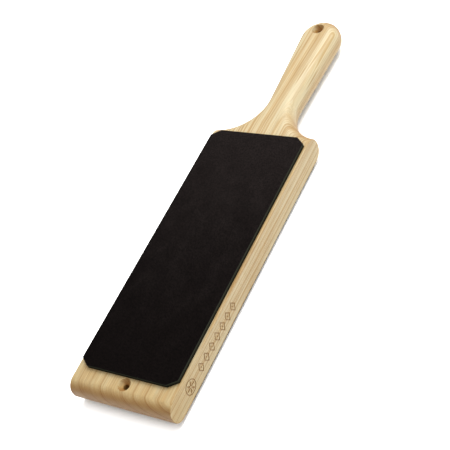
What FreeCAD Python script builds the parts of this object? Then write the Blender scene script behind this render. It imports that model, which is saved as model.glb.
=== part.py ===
import FreeCAD, Part
import math
import os

# Double-sided paddle strop: a one-piece ash paddle with a leather honing sheet glued to
# each broad face.
#
# Frame: millimetres, +Z up, +Y from the blade end towards the handle, +X across the blade.
# Origin: centre of the lower leather's outer face, the face that the strop rests on.

# ---------------------------------------------------------------- driving dimensions, mm
LEATHER_LENGTH = 199.0
LEATHER_WIDTH = 76.2
LEATHER_THICKNESS = 2.8
LEATHER_CLIP_X = 6.7        # each leather corner is cut off this far along the short side
LEATHER_CLIP_Y = 5.0        # and this far along the long side

GLUE_THICKNESS = 0.15
GLUE_SETBACK = 0.4          # the film stops this far inside the leather's edge

BLADE_WIDTH = 80.0
BOARD_THICKNESS = 18.0
BLADE_END_Y = -115.7        # outermost line of the rounded blade end
SHOULDER_Y = 105.7          # where the long sides stop and the neck begins
BULLNOSE_RADIUS = 8.0       # round on every perimeter edge but the two long sides
SIDE_EDGE_RADIUS = 0.5      # light sanding of the edges round each long side

NECK_RADIUS = 29.4          # concave sweep from shoulder to handle
NECK_CENTRE_X = 41.8
HANDLE_END_RADIUS = 15.5
HANDLE_END_CENTRE_Y = 200.9

HOLE_RADIUS = 2.0           # screw hole right through the board
HEAD_RADIUS = 4.6           # rim of the countersink for the screw's head, in the upper face
BLADE_HOLE = (0.7, -104.6)  # each hole sits a little off the middle line, as in the photo
BLADE_HEAD_DEPTH = 3.0
HANDLE_HOLE = (-1.0, 205.0)
HANDLE_HEAD_DEPTH = 4.2

# Shallow burnt ornament on the +X long side: a rosette, then a chain of lozenges and dots.
BURN_DEPTH = 0.3
BURN_LINE = 0.7
ROSETTE_Y = -91.5
ROSETTE_RADIUS = 5.4
ROSETTE_PETALS = 6
PETAL_LENGTH = 3.9
PETAL_WIDTH = 1.3
PETAL_GAP = 0.5             # clear wood between the rosette's centre and each petal
CHAIN_START_Y = -80.0
CHAIN_PITCH = 7.6
CHAIN_COUNT = 7
LOZENGE_LENGTH = 6.0
LOZENGE_HEIGHT = 9.0
DOT_RADIUS = 0.55

# ---------------------------------------------------------------- heights of the layers
LOWER_LEATHER_Z = 0.0
LOWER_GLUE_Z = LOWER_LEATHER_Z + LEATHER_THICKNESS
BOARD_Z = LOWER_GLUE_Z + GLUE_THICKNESS
UPPER_GLUE_Z = BOARD_Z + BOARD_THICKNESS
UPPER_LEATHER_Z = UPPER_GLUE_Z + GLUE_THICKNESS
BOARD_MIDDLE_Z = BOARD_Z + BOARD_THICKNESS / 2

NEAR = 1e-4                 # lengths closer than this count as equal
CLEAR = 1.0                 # cutting tools reach this far past the surface they cut

UP = FreeCAD.Vector(0, 0, 1)
ACROSS = FreeCAD.Vector(1, 0, 0)


def vector(x, y, z=0.0):
    return FreeCAD.Vector(x, y, z)


def polygon_face(points):
    return Part.Face(Part.makePolygon(points + points[:1]))


# ---------------------------------------------------------------- paddle
def cross_tangent(centre_a, radius_a, centre_b, radius_b):
    """Points where one straight line touches two circles that lie on either side of it."""
    span = centre_b - centre_a
    along = math.atan2(span.y, span.x)
    turn = math.acos((radius_a + radius_b) / span.Length)
    spoke = vector(math.cos(along + turn), math.sin(along + turn))
    return centre_a + spoke * radius_a, centre_b - spoke * radius_b


def arc_between(start, end, centre, radius):
    """The shorter arc of a circle from start to end."""
    middle = (start + end) * 0.5 - centre
    return Part.Arc(start, centre + middle * (radius / middle.Length), end).toShape()


def line_between(start, end):
    return Part.LineSegment(start, end).toShape()


def mirrored(point):
    return vector(-point.x, point.y)


def paddle_outline():
    """Plan outline of the board at half its thickness, as one closed wire."""
    half = BLADE_WIDTH / 2
    drop = math.sqrt(NECK_RADIUS ** 2 - (NECK_CENTRE_X - half) ** 2)
    neck_centre = vector(NECK_CENTRE_X, SHOULDER_Y + drop)
    end_centre = vector(0, HANDLE_END_CENTRE_Y)
    corner = vector(half, BLADE_END_Y)
    shoulder = vector(half, SHOULDER_Y)
    neck, grip = cross_tangent(neck_centre, NECK_RADIUS, end_centre, HANDLE_END_RADIUS)
    tip = vector(0, HANDLE_END_CENTRE_Y + HANDLE_END_RADIUS)
    edges = [
        line_between(mirrored(corner), corner),
        line_between(corner, shoulder),
        arc_between(shoulder, neck, neck_centre, NECK_RADIUS),
        line_between(neck, grip),
        Part.Arc(grip, tip, mirrored(grip)).toShape(),
        line_between(mirrored(grip), mirrored(neck)),
        arc_between(mirrored(neck), mirrored(shoulder), mirrored(neck_centre), NECK_RADIUS),
        line_between(mirrored(shoulder), mirrored(corner)),
    ]
    return Part.Wire(edges)


def on_long_side(edge):
    """True where the whole edge lies in one of the two flat long sides."""
    box = edge.BoundBox
    return box.XLength < NEAR and abs(abs(box.XMin) - BLADE_WIDTH / 2) < NEAR


def bullnosed_board():
    outline = paddle_outline()
    outline.translate(UP * BOARD_Z)
    board = Part.Face(outline).extrude(UP * BOARD_THICKNESS)
    level = [e for e in board.Edges if e.BoundBox.ZLength < NEAR]
    board = board.makeFillet(BULLNOSE_RADIUS, [e for e in level if not on_long_side(e)])
    return board.makeFillet(SIDE_EDGE_RADIUS, [e for e in board.Edges if on_long_side(e)])


def screw_hole(place, head_depth):
    """A through hole with a conical countersink for the screw's head."""
    x, y = place
    top = BOARD_Z + BOARD_THICKNESS
    slope = (HEAD_RADIUS - HOLE_RADIUS) / head_depth
    shank = Part.makeCylinder(HOLE_RADIUS, BOARD_THICKNESS + 2 * CLEAR,
                              vector(x, y, BOARD_Z - CLEAR), UP)
    head = Part.makeCone(HOLE_RADIUS, HEAD_RADIUS + slope * CLEAR, head_depth + CLEAR,
                         vector(x, y, top - head_depth), UP)
    return shank.fuse(head)


def on_side(y, height):
    """A point on the floor of the ornament, height measured from mid-thickness."""
    return vector(BLADE_WIDTH / 2 - BURN_DEPTH, y, BOARD_MIDDLE_Z + height)


def burn(face):
    return face.extrude(ACROSS * (BURN_DEPTH + CLEAR))


def disc(y, radius):
    return Part.Face(Part.Wire(Part.makeCircle(radius, on_side(y, 0), ACROSS)))


def petal(angle):
    """A slender pointed petal with its inner tip near the rosette's centre."""
    along = vector(0, math.cos(angle), math.sin(angle))
    aside = vector(0, -math.sin(angle), math.cos(angle))
    root = on_side(ROSETTE_Y, 0) + along * PETAL_GAP
    tip = root + along * PETAL_LENGTH
    middle = (root + tip) * 0.5
    flanks = [Part.Arc(root, middle + aside * (PETAL_WIDTH / 2), tip).toShape(),
              Part.Arc(tip, middle - aside * (PETAL_WIDTH / 2), root).toShape()]
    return Part.Face(Part.Wire(flanks))


def lozenge(y, length, height):
    corners = [(-length / 2, 0), (0, -height / 2), (length / 2, 0), (0, height / 2)]
    return polygon_face([on_side(y + along, up) for along, up in corners])


def lozenge_ring(y):
    """A lozenge outline whose line is BURN_LINE wide on every side."""
    slope = math.hypot(LOZENGE_LENGTH, LOZENGE_HEIGHT)
    shrink = 1 - 2 * BURN_LINE * slope / (LOZENGE_LENGTH * LOZENGE_HEIGHT)
    inner = lozenge(y, LOZENGE_LENGTH * shrink, LOZENGE_HEIGHT * shrink)
    return lozenge(y, LOZENGE_LENGTH, LOZENGE_HEIGHT).cut(inner)


def ornament():
    ring = disc(ROSETTE_Y, ROSETTE_RADIUS).cut(disc(ROSETTE_Y, ROSETTE_RADIUS - BURN_LINE))
    faces = [ring]
    for index in range(ROSETTE_PETALS):
        faces.append(petal(2 * math.pi * index / ROSETTE_PETALS))
    for index in range(CHAIN_COUNT):
        centre_y = CHAIN_START_Y + LOZENGE_LENGTH / 2 + index * CHAIN_PITCH
        faces.append(lozenge_ring(centre_y))
        faces.append(disc(centre_y, DOT_RADIUS))
    return [burn(face) for face in faces]


def paddle():
    holes = [screw_hole(BLADE_HOLE, BLADE_HEAD_DEPTH), screw_hole(HANDLE_HOLE, HANDLE_HEAD_DEPTH)]
    return bullnosed_board().cut(holes + ornament())


# ---------------------------------------------------------------- leather and glue
def clipped_sheet(inset, z, thickness):
    """The leather's plan shape, drawn in by inset on every side, as a flat sheet."""
    x = LEATHER_WIDTH / 2 - inset
    y = LEATHER_LENGTH / 2 - inset
    clip_x = x - LEATHER_CLIP_X
    clip_y = y - LEATHER_CLIP_Y
    corners = [(-clip_x, -y), (clip_x, -y), (x, -clip_y), (x, clip_y),
               (clip_x, y), (-clip_x, y), (-x, clip_y), (-x, -clip_y)]
    face = polygon_face([vector(px, py, z) for px, py in corners])
    return face.extrude(UP * thickness)


def leather(z):
    return clipped_sheet(0.0, z, LEATHER_THICKNESS)


def glue_film(z):
    return clipped_sheet(GLUE_SETBACK, z, GLUE_THICKNESS)


# ---------------------------------------------------------------- one file per piece
def build():
    return {
        "paddle": paddle(),
        "upper_leather": leather(UPPER_LEATHER_Z),
        "upper_glue_film": glue_film(UPPER_GLUE_Z),
        "lower_glue_film": glue_film(LOWER_GLUE_Z),
        "lower_leather": leather(LOWER_LEATHER_Z),
    }


os.makedirs("parts", exist_ok=True)
for name, shape in build().items():
    shape.exportStep(os.path.join("parts", name + ".step"))
    print(name, "solids", len(shape.Solids), "valid", shape.isValid(), "volume", round(shape.Volume, 1))
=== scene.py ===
import math

import bmesh
import bpy
from mathutils import Euler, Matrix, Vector, noise


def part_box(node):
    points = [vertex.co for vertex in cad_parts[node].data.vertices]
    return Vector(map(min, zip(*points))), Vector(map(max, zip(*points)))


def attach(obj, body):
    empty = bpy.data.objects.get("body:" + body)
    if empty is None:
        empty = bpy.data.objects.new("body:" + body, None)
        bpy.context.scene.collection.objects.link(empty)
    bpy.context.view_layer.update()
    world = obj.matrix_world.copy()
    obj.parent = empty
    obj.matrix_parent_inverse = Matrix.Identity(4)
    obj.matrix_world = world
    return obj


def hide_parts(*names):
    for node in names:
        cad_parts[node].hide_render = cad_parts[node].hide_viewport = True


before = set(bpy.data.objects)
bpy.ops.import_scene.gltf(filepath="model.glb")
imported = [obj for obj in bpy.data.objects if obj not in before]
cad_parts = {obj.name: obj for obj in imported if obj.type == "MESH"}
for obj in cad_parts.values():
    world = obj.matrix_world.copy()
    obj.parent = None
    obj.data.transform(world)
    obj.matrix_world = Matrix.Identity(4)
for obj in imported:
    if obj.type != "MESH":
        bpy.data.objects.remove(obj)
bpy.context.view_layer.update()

MM = 0.001

# ------------------------------------------------------------------ camera, floor, light
CAMERA_PLACE = Vector((0.4396, -0.3262, 0.5575))
CAMERA_TURN = (41.16, 22.34, 27.42)     # degrees about X, Y, Z
CAMERA_LENS = 93.4                      # mm
CAMERA_SENSOR = 36.0
CAMERA_REACH = 100.0                    # m, so that the whole floor is seen

FLOOR_HALF = 30.0                       # m
FLOOR_COLOUR = (0.95, 0.95, 0.95, 1.0)


def add_camera():
    data = bpy.data.cameras.new("camera")
    data.lens = CAMERA_LENS
    data.sensor_width = CAMERA_SENSOR
    data.clip_end = CAMERA_REACH
    camera = bpy.data.objects.new("camera", data)
    camera.location = CAMERA_PLACE
    camera.rotation_euler = Euler([math.radians(turn) for turn in CAMERA_TURN])
    bpy.context.scene.collection.objects.link(camera)
    bpy.context.scene.camera = camera


def add_area_light(name, place, size, power, target):
    """A white disc light, in metres and watts, that faces the target."""
    data = bpy.data.lights.new(name, "AREA")
    data.shape = "DISK"
    data.size = size
    data.energy = power
    light = bpy.data.objects.new(name, data)
    light.location = place
    aim = Vector(target) - Vector(place)
    light.rotation_euler = aim.to_track_quat("-Z", "Y").to_euler()
    bpy.context.scene.collection.objects.link(light)


def add_world(strength):
    world = bpy.data.worlds.new("studio")
    world.use_nodes = True
    background = world.node_tree.nodes["Background"]
    background.inputs["Color"].default_value = (1.0, 1.0, 1.0, 1.0)
    background.inputs["Strength"].default_value = strength
    bpy.context.scene.world = world


def add_floor():
    half = FLOOR_HALF
    corners = [(-half, -half, 0), (half, -half, 0), (half, half, 0), (-half, half, 0)]
    mesh = bpy.data.meshes.new("floor")
    mesh.from_pydata(corners, [], [(0, 1, 2, 3)])
    floor = bpy.data.objects.new("floor", mesh)
    bpy.context.scene.collection.objects.link(floor)
    graph = Graph("pale_floor")
    graph.surface(base=FLOOR_COLOUR, roughness=0.9, specular=0.0)
    mesh.materials.append(graph.material)


# ------------------------------------------------------------------ shader helpers
class Graph:
    """A material's node tree with short calls for the nodes that this script uses."""

    def __init__(self, name):
        self.material = bpy.data.materials.new(name)
        self.material.use_nodes = True
        self.tree = self.material.node_tree
        self.shader = self.tree.nodes["Principled BSDF"]

    def add(self, kind, inputs, **settings):
        node = self.tree.nodes.new(kind)
        for key, value in settings.items():
            setattr(node, key, value)
        for key, value in inputs.items():
            self.feed(node.inputs[key], value)
        return node

    def feed(self, socket, value):
        """Link another node's output to a socket, or set the socket to a plain value."""
        if isinstance(value, bpy.types.NodeSocket):
            self.tree.links.new(value, socket)
        else:
            socket.default_value = value

    def math(self, operation, first, second=0.0, third=0.0):
        inputs = {0: first, 1: second, 2: third}
        return self.add("ShaderNodeMath", inputs, operation=operation).outputs[0]

    def product(self, first, second):
        return self.math("MULTIPLY", first, second)

    def lessened(self, value, share, mask):
        """The value, with a share of it taken away where the mask is 1."""
        return self.product(value, self.math("MULTIPLY_ADD", mask, -share, 1.0))

    def vector(self, operation, first, second=(0.0, 0.0, 0.0)):
        node = self.add("ShaderNodeVectorMath", {0: first, 1: second}, operation=operation)
        return node.outputs["Value" if operation == "LENGTH" else "Vector"]

    def combined(self, x, y=0.0, z=0.0):
        return self.add("ShaderNodeCombineXYZ", {"X": x, "Y": y, "Z": z}).outputs[0]

    def scaled(self, vector, x, y, z):
        return self.vector("MULTIPLY", vector, (x, y, z))

    def point(self):
        """The surface point in millimetres, in the part's own frame."""
        coordinate = self.add("ShaderNodeTexCoord", {}).outputs["Object"]
        return self.scaled(coordinate, 1 / MM, 1 / MM, 1 / MM)

    def normal_size(self, axis):
        """How squarely the surface faces along an axis, from 0 to 1."""
        normal = self.add("ShaderNodeNewGeometry", {}).outputs["Normal"]
        return self.math("ABSOLUTE", self.split(normal)[axis])

    def split(self, vector):
        return self.add("ShaderNodeSeparateXYZ", {0: vector}).outputs

    def noise(self, vector, detail=2.0, roughness=0.5):
        inputs = {"Vector": vector, "Scale": 1.0, "Detail": detail, "Roughness": roughness}
        return self.add("ShaderNodeTexNoise", inputs).outputs[0]

    def voronoi(self, vector):
        inputs = {"Vector": vector, "Scale": 1.0}
        return self.add("ShaderNodeTexVoronoi", inputs).outputs["Distance"]

    def step(self, value, low, high, start=0.0, end=1.0):
        """A smooth change from start to end as value goes from low to high."""
        inputs = {"Value": value, "From Min": low, "From Max": high,
                  "To Min": start, "To Max": end}
        node = self.add("ShaderNodeMapRange", inputs, interpolation_type="SMOOTHSTEP")
        return node.outputs[0]

    def window(self, value, bounds):
        """Rises from 0 to 1 between the first two bounds, falls back between the last two."""
        rise = self.step(value, bounds[0], bounds[1])
        return self.product(rise, self.step(value, bounds[2], bounds[3], 1.0, 0.0))

    def mix(self, factor, first, second, blend="MIX"):
        node = self.add("ShaderNodeMix", {}, data_type="RGBA", blend_type=blend)
        self.feed(node.inputs["Factor"], factor)
        self.feed(node.inputs[6], first)
        self.feed(node.inputs[7], second)
        return node.outputs[2]

    def bump(self, height, distance, strength):
        """A bumped normal; distance is the relief's height in metres."""
        inputs = {"Height": height, "Distance": distance, "Strength": strength}
        return self.add("ShaderNodeBump", inputs).outputs[0]

    def surface(self, base, roughness, specular, normal=None):
        self.feed(self.shader.inputs["Base Color"], base)
        self.feed(self.shader.inputs["Roughness"], roughness)
        self.shader.inputs["Specular IOR Level"].default_value = specular
        if normal is not None:
            self.feed(self.shader.inputs["Normal"], normal)


# ------------------------------------------------------------------ ash wood
PITH_X = 53.0               # where the tree's centre line lay, mm across the board
PITH_ABOVE_FACE = 63.0      # and mm above the board's upper face
RING_OFFSET = 29.0          # rings grow wider with their distance beyond this radius, mm
RING_UNIT = 36.0            # the count starts this far beyond it,
RINGS_PER_FOLD = 10.0       # and gains so many rings each time that distance grows e times
RING_PHASE = 0.11
RING_DRIFT = -0.0017        # rings per mm along the board
RING_WANDER = 0.6           # rings

LEAN_START = 112.0          # from here on the grain leans across the handle,
LEAN = 0.075                # mm across per mm along
HANDLE_START = (112.0, 121.0)           # where the blade's pattern gives way to the handle's
PALE_RINGS = (2.62, 2.74, 3.30, 3.42)   # plain wood in the handle, by ring count
WARM_RINGS = (2.00, 2.12, 2.48, 2.60)   # and warmer wood beside it
BLADE_END = (-112.0, -60.0)             # the blade end's darker, warmer tint, partly painted shade, and its fainter lines fade out over this stretch

# Parts of one ring, as fractions of its width.
EARLY_START = (0.0, 0.03)   # porous earlywood begins sharply,
EARLY_EDGE = (0.04, 0.15)   # is densest here,
EARLY_FADE = (0.05, 0.42)   # and thins out over this stretch
EARLY_FADE_SHARE = 0.45
LATE_BAND = (0.6, 1.0)

# Noise scales across, along and through the board, per mm.
WANDER_SCALE = (0.022, 0.0075, 0.022)
FIBRE_SCALE = (2.4, 0.035, 2.4)
PORE_SCALE = (2.2, 0.14, 2.2)
BLOTCH_SCALE = (0.05, 0.018, 0.05)
PATCH_SCALE = (0.11, 0.045, 0.11)
SCORCH_SCALE = (0.8, 0.8, 0.8)

# Noise scales of the lines that follow the rings: per ring, and per mm along the board.
LINES_PER_RING = 9.0
LINES_ALONG = 0.008
VEINS_PER_RING = 3.2
VEINS_ALONG = 0.004
CROWDS_PER_RING = 1.3
TONES_PER_RING = 0.9

ASH_PALE = (0.300, 0.252, 0.152, 1.0)
ASH_WARM = (0.240, 0.160, 0.064, 1.0)
ASH_PORES = (0.195, 0.114, 0.036, 1.0)
ASH_BURNT = (0.165, 0.084, 0.024, 1.0)
END_GRAIN_AND_SHADE_TINT = (0.69, 0.51, 0.31, 1.0)      # end grain soaks up oil and looks darker; the tint is deeper still as painted shade on the rounded ends
# painted shade: a warm darkening inside the screw holes, growing with depth
BORE_SHADE_TINT = (0.98, 0.74, 0.38, 1.0)
BLADE_END_WARMTH_AND_SHADE = (0.86, 0.75, 0.56, 1.0)    # the blade end is warmer wood than the handle, and darker as painted shade,
GREY_TINT = (0.95, 0.93, 0.86, 1.0)     # with a few patches that took less oil
ASH_RELIEF = 0.12 * MM
ASH_SPECULAR = 0.30

ORNAMENT_Y = (-98.5, -27.0)             # where the burnt ornament lies along the board, mm
ORNAMENT_HALF_HEIGHT = 6.2
BURN_X = (39.5, 39.96)                  # just below the board's side, around its floor

HOLES = ((0.7, -104.6), (-1.0, 205.0))  # centres of the screw holes, mm
HEAD_RADIUS = 4.6
HEAD_MARGIN = 0.1
HOLE_SHADE_DEPTH = 3.5                         # the painted shade in the bores sets in over this depth, mm


def ring_count(graph, point, board_top):
    """How many growth rings lie between the pith and each point; it wanders a little."""
    wander = graph.noise(graph.scaled(point, *WANDER_SCALE), detail=1.0)
    pith = (PITH_X, 0.0, board_top + PITH_ABOVE_FACE)
    across = graph.scaled(graph.vector("SUBTRACT", point, pith), 1, 0, 1)
    radius = graph.vector("LENGTH", across)
    folds = graph.math("DIVIDE", graph.math("SUBTRACT", radius, RING_OFFSET), RING_UNIT)
    count = graph.product(graph.math("LOGARITHM", folds, math.e), RINGS_PER_FOLD)
    count = graph.math("MULTIPLY_ADD", graph.split(point)["Y"], RING_DRIFT, count)
    count = graph.math("ADD", count, RING_PHASE)
    return graph.math("MULTIPLY_ADD", graph.math("SUBTRACT", wander, 0.5), RING_WANDER, count)


def leaning(graph, point):
    """The point, moved so that textures along Y follow the grain's lean in the handle."""
    beyond = graph.math("SUBTRACT", graph.split(point)["Y"], LEAN_START)
    shift = graph.product(graph.math("MAXIMUM", beyond, 0.0), LEAN)
    return graph.vector("SUBTRACT", point, graph.combined(shift))


def earlywood(graph, count, pale):
    """How porous the wood is: each ring opens with pores, and some rings have fewer of them."""
    part = graph.math("FRACT", count)
    edge = graph.step(part, *EARLY_EDGE, 1.0, 0.0)
    fade = graph.step(part, *EARLY_FADE, EARLY_FADE_SHARE, 0.0)
    early = graph.product(graph.step(part, *EARLY_START), graph.math("MAXIMUM", edge, fade))
    tone = graph.noise(graph.combined(graph.product(count, TONES_PER_RING)),
                       detail=3.0, roughness=0.7)
    strength = graph.lessened(graph.step(tone, 0.30, 0.66, 0.35, 1.0), 0.75, pale)
    return graph.product(early, strength)


def growth_lines(graph, count, along):
    """Fine lines that follow the rings and crowd together here and there."""
    place = graph.combined(graph.product(count, LINES_PER_RING),
                           graph.product(along, LINES_ALONG))
    lines = graph.noise(place, detail=2.0, roughness=0.6)
    crowding = graph.noise(graph.combined(graph.product(count, CROWDS_PER_RING), 7.0))
    lines = graph.math("MULTIPLY_ADD", graph.math("SUBTRACT", crowding, 0.5), 0.35, lines)
    return graph.step(lines, 0.49, 0.58, 0.0, 0.95)


def dark_veins(graph, count, along):
    """Thin, single dark lines, where a slow noise passes through its middle value."""
    place = graph.combined(graph.product(count, VEINS_PER_RING),
                           graph.product(along, VEINS_ALONG), 3.0)
    veins = graph.math("SUBTRACT", graph.noise(place, detail=1.0), 0.5)
    return graph.step(graph.math("ABSOLUTE", veins), 0.008, 0.035, 0.75, 0.0)


def open_pores(graph, grain, porous):
    """Fine dashes along the grain, crowded in the earlywood."""
    dashes = graph.step(graph.voronoi(graph.scaled(grain, *PORE_SCALE)), 0.10, 0.28, 1.0, 0.0)
    return graph.product(dashes, graph.math("MULTIPLY_ADD", porous, 0.8, 0.14))


def ornament_mask(graph, point, board_middle):
    """1 on the floor and walls of the shallow burnt ornament in the board's long side."""
    place = graph.split(point)
    height = graph.math("ABSOLUTE", graph.math("SUBTRACT", place["Z"], board_middle))
    tests = [graph.math("GREATER_THAN", place["X"], BURN_X[0]),
             graph.math("LESS_THAN", place["X"], BURN_X[1]),
             graph.math("LESS_THAN", height, ORNAMENT_HALF_HEIGHT),
             graph.math("GREATER_THAN", place["Y"], ORNAMENT_Y[0]),
             graph.math("LESS_THAN", place["Y"], ORNAMENT_Y[1])]
    scorch = graph.noise(graph.scaled(point, *SCORCH_SCALE), detail=3.0)
    mask = graph.step(scorch, 0.25, 0.7, 0.65, 1.0)
    for test in tests:
        mask = graph.product(mask, test)
    return mask


def hole_shade_mask(graph, point, board_top):
    """Painted shade in the two screw holes, deepening below the board's face."""
    place = graph.split(point)
    flat = graph.combined(place["X"], place["Y"])
    near = [graph.vector("LENGTH", graph.vector("SUBTRACT", flat, (x, y, 0.0))) for x, y in HOLES]
    inside = graph.math("LESS_THAN", graph.math("MINIMUM", *near), HEAD_RADIUS + HEAD_MARGIN)
    return graph.product(inside, graph.step(place["Z"], board_top - HOLE_SHADE_DEPTH, board_top, 1.0, 0.0))


def ring_colour(graph, point, count, porous, pale):
    """The wood's colour from its rings, lines, veins and broad blotches."""
    along = graph.split(point)["Y"]
    late = graph.step(graph.math("FRACT", count), *LATE_BAND)
    handle = graph.step(along, *HANDLE_START)
    warm = graph.product(graph.window(count, WARM_RINGS), handle)
    blotches = graph.noise(graph.scaled(point, *BLOTCH_SCALE), detail=2.0)
    clear = graph.lessened(1.0, 0.50, graph.step(along, *BLADE_END, 1.0, 0.0))
    clear = graph.lessened(clear, 0.60, pale)

    colour = graph.mix(graph.product(late, 0.20), ASH_PALE, ASH_WARM)
    colour = graph.mix(graph.product(warm, 0.70), colour, ASH_WARM)
    colour = graph.mix(graph.product(growth_lines(graph, count, along), clear), colour, ASH_WARM)
    colour = graph.mix(graph.step(blotches, 0.45, 0.75, 0.0, 0.30), colour, ASH_WARM)
    colour = graph.mix(graph.product(dark_veins(graph, count, along), clear), colour, ASH_PORES)
    return graph.mix(graph.product(porous, 0.90), colour, ASH_PORES)


def tinted_and_shaded_by_place(graph, colour, point, low, high):
    """End grain deepened with painted shade, the blade end darker and warmer partly as painted
    shade, painted shade in the bores, and the burnt ornament, each with its tint.
    """
    board_top = high.z / MM
    board_middle = (low.z + high.z) / 2 / MM
    # end grain is darker, and the tint is deepened to paint shade on the rounded ends
    end_grain_and_shade = graph.step(graph.normal_size("Y"), 0.10, 0.85)
    colour = graph.mix(end_grain_and_shade, colour, END_GRAIN_AND_SHADE_TINT, blend="MULTIPLY")

    # the blade end is warmer wood, and darker as painted shade
    blade_end_shade = graph.step(graph.split(point)["Y"], *BLADE_END, 1.0, 0.0)
    patches = graph.noise(graph.scaled(point, *PATCH_SCALE), detail=3.0, roughness=0.6)
    tint = graph.mix(graph.step(patches, 0.48, 0.62, 0.0, 0.45), BLADE_END_WARMTH_AND_SHADE, GREY_TINT)
    colour = graph.mix(blade_end_shade, colour, tint, blend="MULTIPLY")

    # painted shade inside the screw holes
    bore_shade = graph.product(hole_shade_mask(graph, point, board_top), 0.85)
    colour = graph.mix(bore_shade, colour, BORE_SHADE_TINT, blend="MULTIPLY")
    return graph.mix(ornament_mask(graph, point, board_middle), colour, ASH_BURNT)


def ash_material():
    low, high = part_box("paddle")
    graph = Graph("ash_wood_finish")
    point = graph.point()
    grain = leaning(graph, point)
    count = ring_count(graph, grain, high.z / MM)
    handle = graph.step(graph.split(point)["Y"], *HANDLE_START)
    pale = graph.product(graph.window(count, PALE_RINGS), handle)
    porous = earlywood(graph, count, pale)
    dashes = open_pores(graph, grain, porous)
    fibres = graph.noise(graph.scaled(grain, *FIBRE_SCALE), detail=4.0, roughness=0.7)

    colour = ring_colour(graph, point, count, porous, pale)
    colour = graph.mix(graph.product(dashes, 0.8), colour, ASH_PORES)
    shade = graph.step(fibres, 0.30, 0.70, 0.84, 1.10)
    colour = graph.mix(1.0, colour, shade, blend="MULTIPLY")
    colour = tinted_and_shaded_by_place(graph, colour, point, low, high)

    relief = graph.math("MULTIPLY_ADD", dashes, -1.0, graph.product(fibres, 0.35))
    normal = graph.bump(relief, ASH_RELIEF, strength=0.8)
    roughness = graph.math("MULTIPLY_ADD", porous, 0.15, 0.52)
    graph.surface(colour, roughness, specular=ASH_SPECULAR, normal=normal)
    return graph.material


# ------------------------------------------------------------------ leather
CLIP_X = 6.7 * MM           # corners cut off the sheet, across and along
CLIP_Y = 5.0 * MM
ROUND = 0.35 * MM           # softened outer edge of the cut
SWELL = 0.05 * MM           # unevenness of the hide's face
SWELL_BROAD = 45.0          # noise per metre: slow waves,
SWELL_PEBBLE = 320.0        # and pebbles
FRAY = 0.10 * MM            # how far the cut side draws in
FRAY_ROUND = 0.55           # noise per grid step round the outline,
FRAY_DOWN = 1.7             # and per ring down the cut side

COLUMNS = 64
ROWS_CLIP = 6
ROWS_MIDDLE = 150
ROWS = 2 * ROWS_CLIP + ROWS_MIDDLE
ROUND_STEPS = 4
WALL_STEPS = 5

NAP_SCALE = (1.1, 1.1, 1.1)             # noise per mm
CELL_SCALE = (1.5, 1.5, 1.5)
CLOUD_SCALE = (0.075, 0.055, 0.075)
LAYER_SCALE = (0.5, 0.5, 5.0)
SHEEN_CLOUD_REACH = 190.0                     # the clouds push the painted sheen this far along, mm
LEATHER_SHEEN_STRETCH = (-100.0, 150.0)          # the painted sheen pales the leather over this stretch of the board, mm

LEATHER_DARK = (0.0018, 0.0012, 0.0011, 1.0)
# painted sheen: the paler leather colour that stands in for the light towards the handle end
LEATHER_SHEEN = (0.0066, 0.0050, 0.0047, 1.0)
CUT_DARK = (0.0075, 0.0075, 0.0045, 1.0)
CUT_PALE = (0.0170, 0.0175, 0.0110, 1.0)
# painted highlight: the paler colour along the cut side's rim
CUT_RIM_HIGHLIGHT = (0.0230, 0.0260, 0.0180, 1.0)
CUT_FOOT_SHADE = (0.3, 1.6)                   # mm above the board: where the painted shade at its foot ends
CUT_HIGHLIGHT_START = (2.2, 2.6)                    # and where the painted highlight along the rim begins
LEATHER_RELIEF = 0.12 * MM
LEATHER_SPECULAR = 0.010


def sheet_point(address, inset, half):
    """A point of the clipped sheet drawn in by inset, on a grid that follows its outline.

    half is the sheet's half width and half length, in metres.
    """
    column, row = address
    spare = CLIP_X + CLIP_Y - math.hypot(CLIP_X, CLIP_Y)
    clip_x = CLIP_X - inset * spare / CLIP_Y
    clip_y = CLIP_Y - inset * spare / CLIP_X
    wide = half[0] - inset
    long = half[1] - inset
    if row < ROWS_CLIP:
        y = -long + clip_y * row / ROWS_CLIP
    elif row > ROWS - ROWS_CLIP:
        y = long - clip_y * (ROWS - row) / ROWS_CLIP
    else:
        y = (long - clip_y) * (2 * (row - ROWS_CLIP) / ROWS_MIDDLE - 1)
    past = max(0.0, abs(y) - (long - clip_y))
    reach = wide - clip_x * past / clip_y
    return reach * (2 * column / COLUMNS - 1), y


def border():
    """Grid addresses round the sheet's outline, in order."""
    loop = [(column, 0) for column in range(COLUMNS)]
    loop += [(COLUMNS, row) for row in range(ROWS)]
    loop += [(column, ROWS) for column in range(COLUMNS, 0, -1)]
    loop += [(0, row) for row in range(ROWS, 0, -1)]
    return loop


def leather_sink(x, y, seed):
    """How far the uneven hide lies below its flat face."""
    broad = noise.noise(Vector((x * SWELL_BROAD, y * SWELL_BROAD, seed)))
    pebble = noise.noise(Vector((x * SWELL_PEBBLE, y * SWELL_PEBBLE, seed + 5)))
    return SWELL * (0.8 - 0.55 * broad - 0.25 * pebble)


def grid(mesh, vertex, inset, half, depth_of):
    """A whole face of the sheet; gives its vertices by grid address."""
    table = {}
    for row in range(ROWS + 1):
        for column in range(COLUMNS + 1):
            x, y = sheet_point((column, row), inset, half)
            table[column, row] = vertex(x, y, depth_of(x, y))
    for row in range(ROWS):
        for column in range(COLUMNS):
            mesh.faces.new([table[column, row], table[column + 1, row],
                            table[column + 1, row + 1], table[column, row + 1]])
    return table


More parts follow.
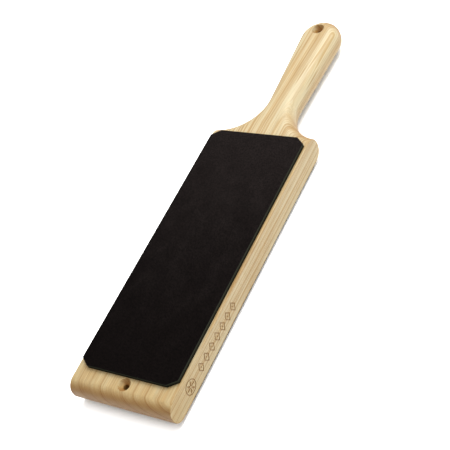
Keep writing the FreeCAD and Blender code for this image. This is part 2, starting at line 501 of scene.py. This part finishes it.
def rounded_rings(vertex, loop, half, seed):
    """Rings of vertices round the softened edge, from the face down to the cut side."""
    rings = []
    for step in range(1, ROUND_STEPS + 1):
        angle = math.pi / 2 * step / ROUND_STEPS
        inset = ROUND * (1 - math.sin(angle))
        depth = ROUND * (1 - math.cos(angle))
        ring = []
        for address in loop:
            x, y = sheet_point(address, inset, half)
            sunk = leather_sink(x, y, seed) * (1 - step / ROUND_STEPS)
            ring.append(vertex(x, y, depth + sunk))
        rings.append(ring)
    return rings


def wall_rings(vertex, loop, half, thickness, seed):
    """Rings of vertices down the cut side, which is a little frayed."""
    rings = []
    for step in range(1, WALL_STEPS):
        depth = ROUND + (thickness - ROUND) * step / WALL_STEPS
        ring = []
        for index, address in enumerate(loop):
            place = Vector((index * FRAY_ROUND, step * FRAY_DOWN, seed + 11))
            inset = FRAY * (0.5 + 0.5 * noise.noise(place))
            x, y = sheet_point(address, inset, half)
            ring.append(vertex(x, y, depth))
        rings.append(ring)
    return rings


def join(mesh, rings):
    """Faces between each ring of vertices and the next."""
    for upper, lower in zip(rings, rings[1:]):
        for index in range(len(upper)):
            after = (index + 1) % len(upper)
            mesh.faces.new([upper[index], lower[index], lower[after], upper[after]])


def add_piece(name, mesh, material):
    """A Blender object from a finished bmesh, smoothly shaded."""
    bmesh.ops.recalc_face_normals(mesh, faces=mesh.faces)
    for face in mesh.faces:
        face.smooth = True
    data = bpy.data.meshes.new(name)
    mesh.to_mesh(data)
    mesh.free()
    data.materials.append(material)
    piece = bpy.data.objects.new(name, data)
    bpy.context.scene.collection.objects.link(piece)
    return piece


def leather_sheet(name, node, outward, seed, material):
    """A thick leather sheet in the place of a CAD node. outward is +1 where it faces up."""
    low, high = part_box(node)
    half = ((high.x - low.x) / 2, (high.y - low.y) / 2)
    centre = (low + high) / 2
    thickness = high.z - low.z
    face_z = high.z if outward > 0 else low.z
    mesh = bmesh.new()

    def vertex(x, y, depth):
        return mesh.verts.new((centre.x + x, centre.y + y, face_z - outward * depth))

    face = grid(mesh, vertex, ROUND, half, lambda x, y: leather_sink(x, y, seed))
    back = grid(mesh, vertex, 0.0, half, lambda x, y: thickness)
    loop = border()
    rings = [[face[address] for address in loop]]
    rings += rounded_rings(vertex, loop, half, seed)
    rings += wall_rings(vertex, loop, half, thickness, seed)
    rings.append([back[address] for address in loop])
    join(mesh, rings)

    piece = add_piece(name, mesh, material)
    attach(piece, "root")
    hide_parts(node)


def cut_side_colour(graph, point):
    """Olive-brown fibre, with painted shade at its foot by the board and a painted highlight along
    its rim.
    """
    low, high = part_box("paddle")
    board_middle = (low.z + high.z) / 2 / MM
    board_face = (high.z - low.z) / 2 / MM
    height = graph.math("SUBTRACT", graph.split(point)["Z"], board_middle)
    height = graph.math("SUBTRACT", graph.math("ABSOLUTE", height), board_face)
    layers = graph.noise(graph.scaled(point, *LAYER_SCALE), detail=4.0, roughness=0.7)
    fibre = graph.mix(graph.step(layers, 0.3, 0.7), CUT_DARK, CUT_PALE)
    # painted shade at the foot of the cut side, in the crease where it meets the board
    fibre = graph.mix(graph.step(height, *CUT_FOOT_SHADE, 0.8, 0.0), fibre, LEATHER_DARK)
    # painted highlight along the cut side's rim
    return graph.mix(graph.step(height, *CUT_HIGHLIGHT_START, 0.0, 0.8), fibre, CUT_RIM_HIGHLIGHT)


def leather_material():
    """A matte black face with a fine nap, and painted sheen that pales it towards the handle in
    soft clouds.
    """
    graph = Graph("black_leather_finish")
    point = graph.point()
    nap = graph.noise(graph.scaled(point, *NAP_SCALE), detail=3.0, roughness=0.75)
    cells = graph.voronoi(graph.scaled(point, *CELL_SCALE))
    cloud = graph.noise(graph.scaled(point, *CLOUD_SCALE), detail=4.0, roughness=0.6)
    # painted sheen: the leather pales towards the handle, and the clouds break up where it starts
    sheen_place = graph.math("MULTIPLY_ADD", graph.math("SUBTRACT", cloud, 0.5), SHEEN_CLOUD_REACH,
                        graph.split(point)["Y"])
    colour = graph.mix(graph.step(sheen_place, *LEATHER_SHEEN_STRETCH), LEATHER_DARK, LEATHER_SHEEN)
    shade = graph.step(nap, 0.34, 0.66, 0.45, 1.55)
    colour = graph.mix(1.0, colour, shade, blend="MULTIPLY")
    upright = graph.step(graph.normal_size("Z"), 0.55, 0.93, 1.0, 0.0)
    colour = graph.mix(upright, colour, cut_side_colour(graph, point))

    relief = graph.math("MULTIPLY_ADD", cells, 0.6, nap)
    normal = graph.bump(relief, LEATHER_RELIEF, strength=0.7)
    roughness = graph.step(nap, 0.3, 0.7, 0.50, 0.66)
    graph.surface(colour, roughness, specular=LEATHER_SPECULAR, normal=normal)
    return graph.material


# ------------------------------------------------------------------ contact cement
CEMENT_THICK = (0.045, 0.030, 0.014, 1.0)
CEMENT_THIN = (0.095, 0.062, 0.028, 1.0)
STROKE_SCALE = (0.25, 1.4, 1.0)         # brush strokes, noise per mm
CEMENT_RELIEF = 0.10 * MM


def cement_material():
    graph = Graph("contact_cement")
    point = graph.point()
    strokes = graph.noise(graph.scaled(point, *STROKE_SCALE), detail=4.0, roughness=0.6)
    colour = graph.mix(graph.step(strokes, 0.3, 0.7), CEMENT_THICK, CEMENT_THIN)
    normal = graph.bump(strokes, CEMENT_RELIEF, strength=0.7)
    graph.surface(colour, 0.45, specular=0.5, normal=normal)
    return graph.material


def paint(node, material):
    """Give a CAD piece that stays in the picture its material."""
    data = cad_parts[node].data
    data.materials.clear()
    data.materials.append(material)


# ------------------------------------------------------------------ scene
add_camera()
add_world(0.88)
add_area_light("overhead", (0.10, 0.20, 1.80), 2.2, 31.5, target=(0.10, 0.20, 0.0))
add_area_light("key", (0.05, 0.66, 0.95), 0.9, 19.0, target=(0.0, 0.15, 0.0))
add_area_light("side_fill", (1.5, 0.0, 0.55), 0.9, 9.0, target=(0.0, 0.04, 0.0))
add_floor()
bpy.context.scene.view_settings.view_transform = "Standard"

paint("paddle", ash_material())
cement = cement_material()
paint("upper_glue_film", cement)
paint("lower_glue_film", cement)
hide = leather_material()
leather_sheet("upper_leather_hide", "upper_leather", 1, 3.0, hide)
leather_sheet("lower_leather_hide", "lower_leather", -1, 17.0, hide)
